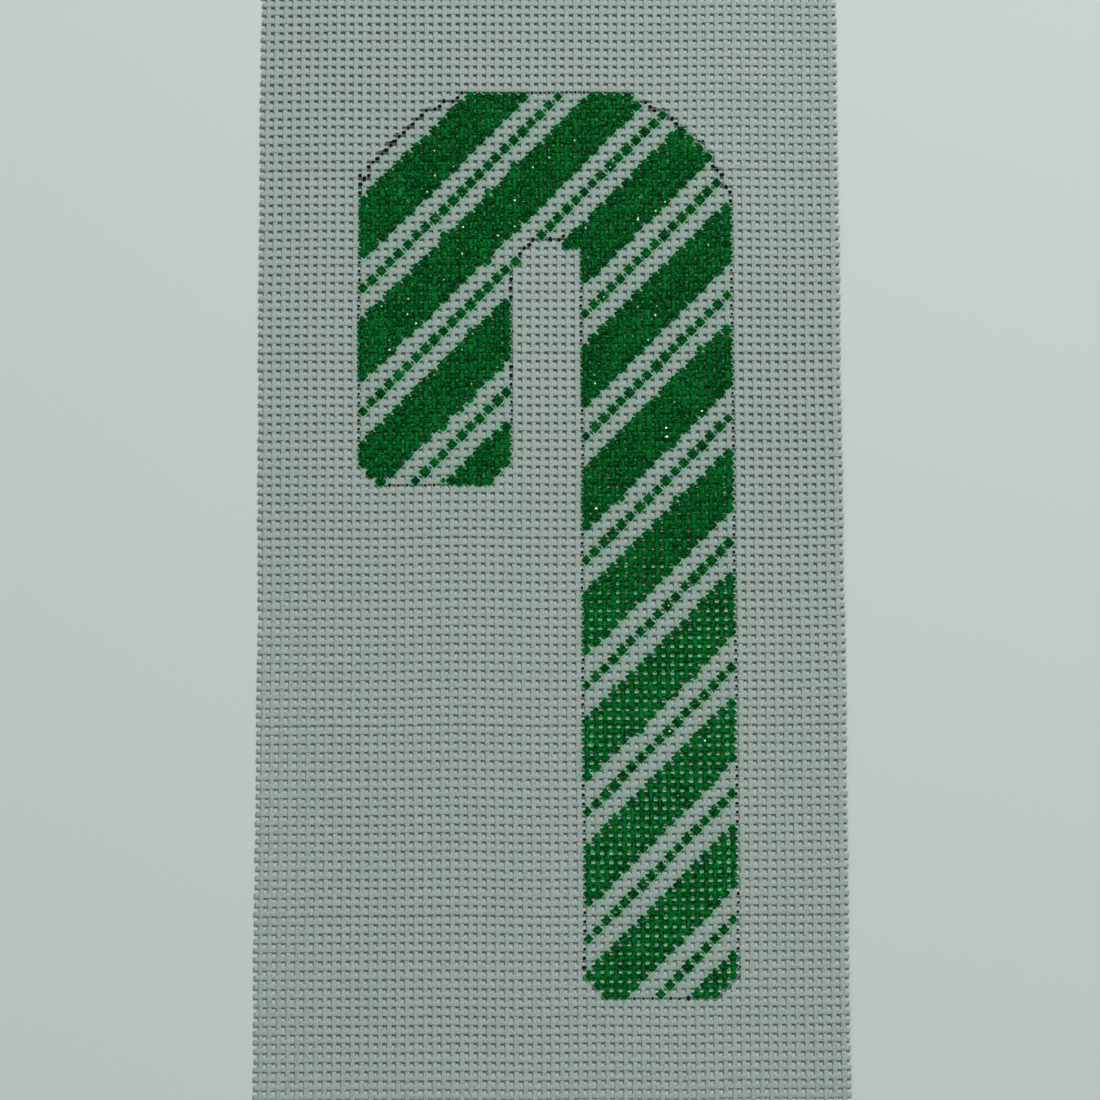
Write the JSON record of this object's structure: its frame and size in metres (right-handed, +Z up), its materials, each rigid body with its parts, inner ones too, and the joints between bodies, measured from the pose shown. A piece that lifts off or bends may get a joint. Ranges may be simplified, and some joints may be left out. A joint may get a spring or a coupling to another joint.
{
  "type": "painted needlepoint canvas",
  "caption": "Flat rectangle of open mono needlepoint canvas with cut thread ends, hand painted with a hooked candy cane in slanting green stripes and lines of green dots.",
  "frame": {"origin": "middle of the canvas's underside, on the surface that it lies on", "axes": "+X across the canvas to the right, +Y along it towards the cane's crook, +Z up out of the painted face"},
  "size_m": [0.128, 0.2472, 0.001],
  "materials": {
    "canvas": "stiffened cotton threads in a pale grey-green, with matt green acrylic paint and a fine black pen line"
  },
  "bodies": {
    "root": {"canvas": "canvas"}
  },
  "joints": []
}
